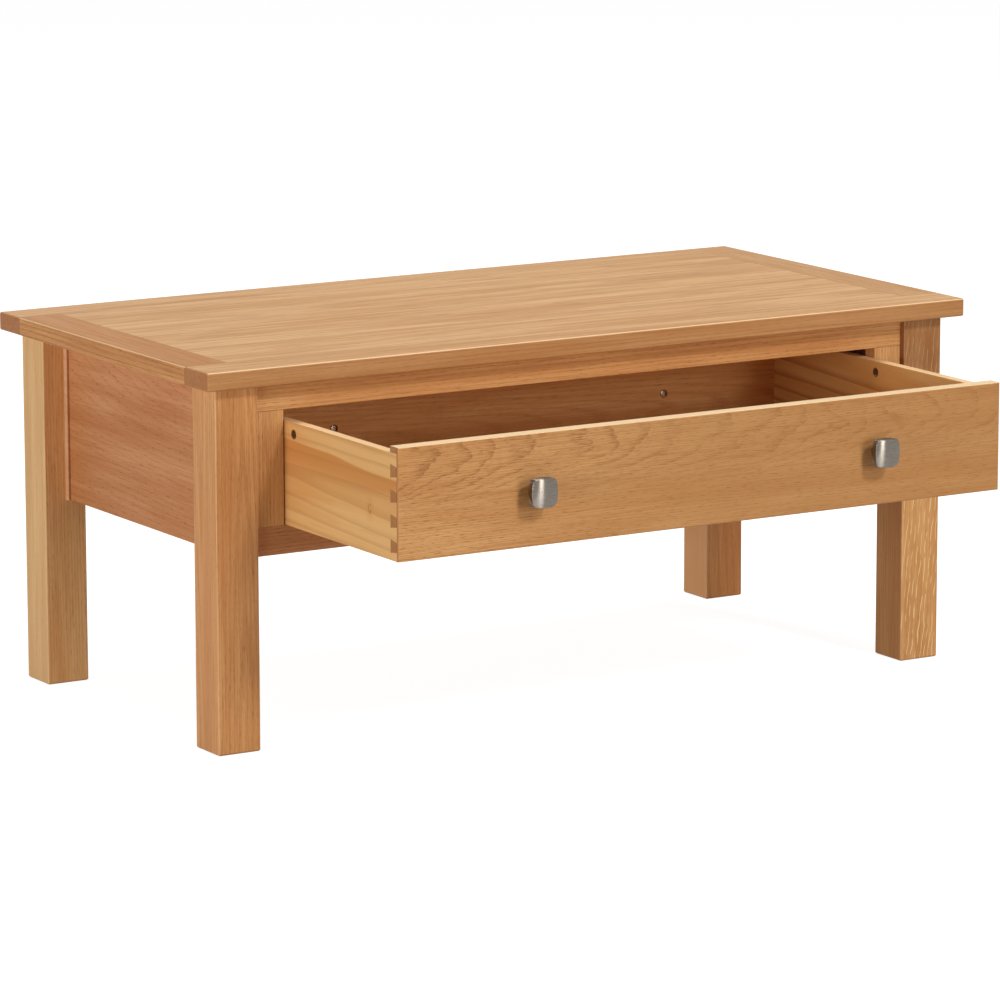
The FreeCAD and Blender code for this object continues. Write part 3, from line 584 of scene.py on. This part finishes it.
def finish_legs():
    """Four legs, each from its own oak, with painted light or shade on single faces and an end in another
    tone.
    """
    node = "leg_front_left"
    lines = [("Z", edge(node, "Z", -1), FOOT_FADE, 0.25, AMBER[2])]
    # Painted light on the left face
    lines += [paint_face_light_or_shade(node, "X", -1, 0.2, PAINTED_FACE_LIGHT)]
    oak(node, RUSSET, "Z", heart=(-470, -214), lean=(1.1, 0.6), ring=3.4, shift=0.4, arris_highlight=0.2, lines=lines)
    node = "leg_front_right"
    # Darker towards the upper end, under the top
    lines = [("Z", edge(node, "Z", 1), HEAD_FADE, 0.6, DARK_HEAD_TONE)]
    oak(node, HONEY, "Z", heart=(478, -60), lean=(0.6, 0.4), shift=1.9, figure=0.3, dashes=0.3,
        flecks=0.8, arris_highlight=0.2, lines=lines)
    node = "leg_back_left"
    # Painted light on the left and front faces
    lines = [paint_face_light_or_shade(node, "X", -1, 0.4, PAINTED_PALE_LIGHT), paint_face_light_or_shade(node, "Y", -1, 0.15, PAINTED_FACE_LIGHT)]
    oak(node, STRAW, "Z", heart=(-300, 260), lean=(0.3, 0.3), shift=2.7, arris_highlight=0.3, lines=lines)
    node = "leg_back_right"
    # Painted light on the left face, painted shade on the front face
    lines = [paint_face_light_or_shade(node, "X", -1, 0.75, PAINTED_FACE_LIGHT), paint_face_light_or_shade(node, "Y", -1, 0.45, AMBER[3])]
    oak(node, RUSSET, "Z", heart=(430, 330), lean=(0.8, 0.5), shift=3.3, arris_highlight=0.2, lines=lines)


def finish_case():
    """End panels, rails and stiles: each board has its own cut of oak."""
    for side, x in (("left", -1), ("right", 1)):
        node = "end_panel_" + side
        # Painted highlight on the bead at the panel's outer face
        bead_highlights = [("X", edge(node, "X", x), 1.8, 0.25, PAINTED_ARRIS_HIGHLIGHT)]
        oak(node, AMBER, "Y", heart=(x * 390, 445), lean=(0, x * 10.4), ring=7, figure=0.15,
            dashes=0.45, streaky=0.3, line=2.4, shift=1.1 + x * 0.5, lines=bead_highlights)
    for number, side in enumerate(("front", "back")):
        y = (-1, 1)[number] * 200
        oak(f"{side}_upper_rail", HONEY, "X", heart=(y, 470), lean=(0.4, 0.5), shift=0.7 + number)
        oak(f"{side}_lower_rail", AMBER, "X", heart=(y, 150), lean=(0.4, 0.5), shift=0.7 + number)
        for hand, x in (("left", -1), ("right", 1)):
            oak(f"{side}_stile_{hand}", HONEY, "Z", heart=(x * 360, y), lean=(0.5, 0.6),
                shift=1.3 + number + x)


def finish_top():
    """Borders and boards of the top, with the joints between them."""
    half_length = edge("top_border_front", "X", 1)
    half_depth = edge("top_border_back", "Y", 1)
    end_joint = edge("top_border_right", "X", -1)
    long_joint = edge("top_border_back", "Y", -1)
    board = 2 * long_joint / TOP_BOARDS
    for number in range(TOP_BOARDS):
        low_y = board * number - long_joint
        heart = (low_y + HEART_IN + HEART_STEP * number, HEART_HEIGHT - HEART_STEP * number)
        lines = [("Y", low_y, LONG_JOINT, 0.35, JOINT_LINE)]
        lines += [("X", x, CROSS_JOINT, 0.6, JOINT_LINE) for x in (-end_joint, end_joint)]
        oak(f"top_board_{number + 1}", TOP, "X", heart=heart, lean=(1.0, 1.5), shift=0.9 * number,
            figure=0.3, dashes=0.45, streaky=0.36, line=4.5, pore_size=TOP_PORE, lines=lines)
    # The top's box without an underside, because only its upper edges get the painted highlight
    low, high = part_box("top_border_front")[0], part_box("top_border_back")[1]
    slab = (low - Vector((0, 0, 1)), high)
    for side, y in (("front", -1), ("back", 1)):
        lines = [("Y", y * long_joint, LONG_JOINT, 0.3, JOINT_LINE)]
        lines += [("X", x, FACE_SKIN, 0.6, SAWN_END) for x in (-half_length, half_length)]
        lines += [("Y", y * half_depth, FACE_SKIN, 0.35, SAWN_END)]
        oak(f"top_border_{side}", TOP, "X", heart=(y * 300, 380), lean=(0.4, 0.3), shift=y * 0.3,
            figure=0.3, dashes=0.4, line=4, arris_highlight=1.0, edges="YZ", whole=slab, lines=lines)
    for side, x, tone, stain in (("left", -1, CHESTNUT, 0.6), ("right", 1, TOP, 0.25)):
        lines = [("X", x * end_joint, END_JOINT, 0.7, JOINT_LINE)]
        lines += [("Y", y, LONG_JOINT, 0.4, JOINT_LINE) for y in (-long_joint, long_joint)]
        oak(f"top_border_{side}", tone, "Y", heart=(x * 560, 400), lean=(1.0, 0.8), shift=x * 0.56,
            arris_highlight=0.8, edges="XZ", whole=slab, upper=(stain, STAINED), lines=lines)


def finish_drawer():
    """Oak ends, pine sides and strips, and a plywood bottom."""
    face_y = edge("drawer_front", "Y", -1)
    lines = [("X", WARM_PLACE, WARM_FADE, 0.55, WARM_END)]
    lines += [("Y", face_y + LAP / 2, 1.9, 0.4, LAP_EDGE), ("Y", face_y + LAP, 0.9, 0.7, JOINT_LINE)]
    arches = {"heart": (-395, 374), "lean": (0, -4.8), "ring": 4.2, "low": 300, "high": 350}
    # The front's upward faces get painted light from above
    oak("drawer_front", HONEY, "X", heart=(-470, 440), lean=(0, -0.8), ring=2.6, shift=0.2, figure=0.35,
        dashes=0.8, ends=0.6, crown=arches, upper=(0.7, PAINTED_TOP_LIGHT), lines=lines)
    # Painted light on the drawer back's upward faces and on its inner face
    oak("drawer_back", STRAW, "X", heart=(-90, 300), lean=(0, 2.5), shift=2.2, upper=(0.6, PAINTED_TOP_LIGHT),
        lines=[paint_face_light_or_shade("drawer_back", "Y", -1, 0.12, PAINTED_FACE_LIGHT)])
    low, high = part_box("drawer_side_left")
    knot = Vector((low.x, low.y + KNOT_ALONG * MM, low.z + KNOT_UP * MM))
    # Centre of the sides' bores, which get painted shade inside
    bore = Vector((0, (low.y + high.y) / 2, high.z - BORE_DROP * MM))
    # Painted light from above on the sides' upward faces
    top_light = (0.5, PAINTED_TOP_LIGHT)
    left = pine("drawer_side_left_pine", heart=(-440, 330), lean=(1.5, 1.0), shift=0.3, lines=0.35,
                banded=True, knot=knot, bore=bore, upper=top_light)
    right = pine("drawer_side_right_pine", heart=(440, 400), lean=(4.0, 1.5), shift=1.7, lines=0.8,
                 ring=15, bore=bore, upper=top_light)
    dress("drawer_side_left", left)
    dress("drawer_side_right", right)
    strips = pine("strip_pine", heart=(0, 600), lean=(1.0, 2.0), shift=2.9)
    for strip in ("runner", "guide", "kicker"):
        for side in ("left", "right"):
            dress(f"drawer_{strip}_{side}", strips)
    dress("drawer_bottom", birch_plywood("drawer_bottom_plywood"))


def finish_fittings(zinc):
    """Knobs, their bolts and the screws."""
    nickel = satin_nickel("knob_satin_nickel")
    for corner in CORNERS:
        dress("knob_" + corner, nickel)
        dress("knob_bolt_" + corner, zinc)
    dress("kicker_screws", zinc)
    dress("rail_screws", zinc)


def settle():
    """Takes the active piece's turn and place into its mesh, so that it stands at the origin."""
    bpy.ops.object.transform_apply(location=True, rotation=True, scale=True)


def model_bolt(corner, zinc):
    """A knob bolt with a domed head and a cross recess, that stands for the plain one."""
    low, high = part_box("knob_bolt_" + corner)
    inward = 1 if corner.startswith("front") else -1
    tip, crown = (low.y, high.y) if inward > 0 else (high.y, low.y)
    seat = crown - inward * BOLT_HEAD
    x = (low.x + high.x) / 2
    z = (low.z + high.z) / 2
    upright = (math.radians(90), 0, 0)

    bpy.ops.object.select_all(action="DESELECT")
    bpy.ops.mesh.primitive_cylinder_add(vertices=40, radius=(high.x - low.x) / 2, depth=BOLT_HEAD,
                                        location=(x, (crown + seat) / 2, z), rotation=upright)
    settle()
    bolt = bpy.context.object
    bolt.name = "cross_head_bolt_" + corner
    bpy.ops.object.mode_set(mode="EDIT")
    bpy.ops.mesh.select_mode(type="FACE")
    bpy.ops.mesh.select_all(action="DESELECT")
    bpy.ops.object.mode_set(mode="OBJECT")
    for polygon in bolt.data.polygons:
        polygon.select = polygon.normal.y * inward > 0.9
    bpy.ops.object.mode_set(mode="EDIT")
    bpy.ops.mesh.bevel(offset=BOLT_DOME, segments=5, affect="EDGES")
    bpy.ops.object.mode_set(mode="OBJECT")

    for arm in ((CROSS_LENGTH, CROSS_WIDTH), (CROSS_WIDTH, CROSS_LENGTH)):
        bpy.ops.object.select_all(action="DESELECT")
        bpy.ops.mesh.primitive_cube_add(size=1.0, location=(x, crown, z))
        cutter = bpy.context.object
        cutter.scale = (arm[0], 2 * CROSS_DEPTH, arm[1])
        settle()
        bpy.context.view_layer.objects.active = bolt
        slot = bolt.modifiers.new("cross_recess", "BOOLEAN")
        slot.operation = "DIFFERENCE"
        slot.solver = "EXACT"
        slot.object = cutter
        bpy.ops.object.modifier_apply(modifier=slot.name)
        bpy.data.objects.remove(cutter, do_unlink=True)

    bpy.ops.object.select_all(action="DESELECT")
    bpy.ops.mesh.primitive_cylinder_add(vertices=24, radius=BOLT_SHANK / 2, depth=abs(seat - tip),
                                        location=(x, (seat + tip) / 2, z), rotation=upright)
    settle()
    bolt.select_set(True)
    bpy.context.view_layer.objects.active = bolt
    bpy.ops.object.join()
    bpy.ops.object.shade_smooth_by_angle(angle=math.radians(BOLT_SMOOTH))
    bolt.data.materials.clear()
    bolt.data.materials.append(zinc)
    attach(bolt, "drawer")
    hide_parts("knob_bolt_" + corner)


def softbox(name, place, width, height, level):
    """A rectangular lamp turned at the table; its power gives a facing white card that level."""
    lamp = bpy.data.lights.new(name, "AREA")
    lamp.shape = "RECTANGLE"
    lamp.size = width
    lamp.size_y = height
    away = Vector(place) - Vector(LAMP_AIM)
    lamp.energy = level * math.pi ** 2 * away.length_squared
    holder = bpy.data.objects.new(name, lamp)
    holder.location = place
    holder.rotation_euler = away.to_track_quat("Z", "Y").to_euler()
    bpy.context.scene.collection.objects.link(holder)


def seen_directly(tree):
    """1 for rays from the camera, in mirrors and through glass, else 0."""
    path = add(tree, "LightPath").outputs
    first = add(tree, "Math", {0: path["Is Camera Ray"], 1: path["Is Glossy Ray"]}, operation="MAXIMUM")
    return add(tree, "Math", {0: first, 1: path["Is Transmission Ray"]}, operation="MAXIMUM")


def build_sky():
    """The sky looks white, and lights the table at a plain level."""
    world = bpy.data.worlds.new("studio_sky")
    world.use_nodes = True
    tree = world.node_tree
    tree.nodes.clear()
    lit = add(tree, "Background", {"Color": WHITE, "Strength": SKY_LEVEL})
    white = add(tree, "Background", {"Color": WHITE, "Strength": 1.0})
    sky = add(tree, "MixShader", {0: seen_directly(tree), 1: lit, 2: white})
    add(tree, "OutputWorld", {"Surface": sky})
    bpy.context.scene.world = world


def build_floor():
    """White studio paper, that looks white and takes the table's soft shadow."""
    bpy.ops.object.select_all(action="DESELECT")
    bpy.ops.mesh.primitive_plane_add(size=FLOOR_SIZE, location=(0, 0, cad_box[0][2] - FLOOR_DROP))
    floor = bpy.context.object
    floor.name = "studio_floor"
    material, tree = new_material("studio_paper")
    bounce = add(tree, "BsdfDiffuse", {"Color": (FLOOR_BOUNCE, FLOOR_BOUNCE, FLOOR_BOUNCE, 1)})
    paper = add(tree, "BsdfDiffuse", {"Color": (FLOOR_SHOWN, FLOOR_SHOWN, FLOOR_SHOWN, 1)})
    glow = add(tree, "Emission", {"Color": WHITE, "Strength": FLOOR_GLOW})
    shown = add(tree, "AddShader", {0: paper, 1: glow})
    sheet = add(tree, "MixShader", {0: seen_directly(tree), 1: bounce, 2: shown})
    add(tree, "OutputMaterial", {"Surface": sheet})
    floor.data.materials.append(material)


def build_lamps():
    """Five softboxes: front, left, above, behind, and a strip that draws the knobs' highlight."""
    softbox("key_softbox", place=(1.36, -6.5, 4.9), width=1.2, height=1.2, level=KEY_LEVEL)
    softbox("left_softbox", place=(-4.4, -1.2, 0.5), width=2.4, height=0.9, level=LEFT_LEVEL)
    softbox("top_softbox", place=(0.1, -0.2, 4.2), width=2.4, height=2.0, level=TOP_LEVEL)
    softbox("back_softbox", place=(0.8, 6.0, 0.7), width=2.4, height=0.9, level=BACK_LEVEL)
    softbox("strip_softbox", place=(1.8, -7.3, 1.5), width=1.4, height=2.4, level=STRIP_LEVEL)


def build_camera():
    """The photograph's view."""
    lens = bpy.data.cameras.new("photo_camera")
    lens.lens = CAMERA_LENS
    lens.sensor_width = CAMERA_SENSOR
    lens.clip_end = CAMERA_REACH
    camera = bpy.data.objects.new("photo_camera", lens)
    camera.location = CAMERA_PLACE
    turn = Matrix.Rotation(math.radians(-CAMERA_YAW), 3, "Z")
    tip = Matrix.Rotation(math.radians(90 - CAMERA_PITCH), 3, "X")
    roll = Matrix.Rotation(math.radians(CAMERA_ROLL), 3, "Z")
    camera.rotation_euler = (turn @ tip @ roll).to_euler()
    bpy.context.scene.collection.objects.link(camera)
    bpy.context.scene.camera = camera


finish_legs()
finish_case()
finish_top()
finish_drawer()
screw_zinc = zinc_steel("screw_zinc_steel")
finish_fittings(screw_zinc)
for corner in CORNERS:
    model_bolt(corner, screw_zinc)
build_sky()
build_floor()
build_lamps()
build_camera()
bpy.context.scene.view_settings.view_transform = "Standard"
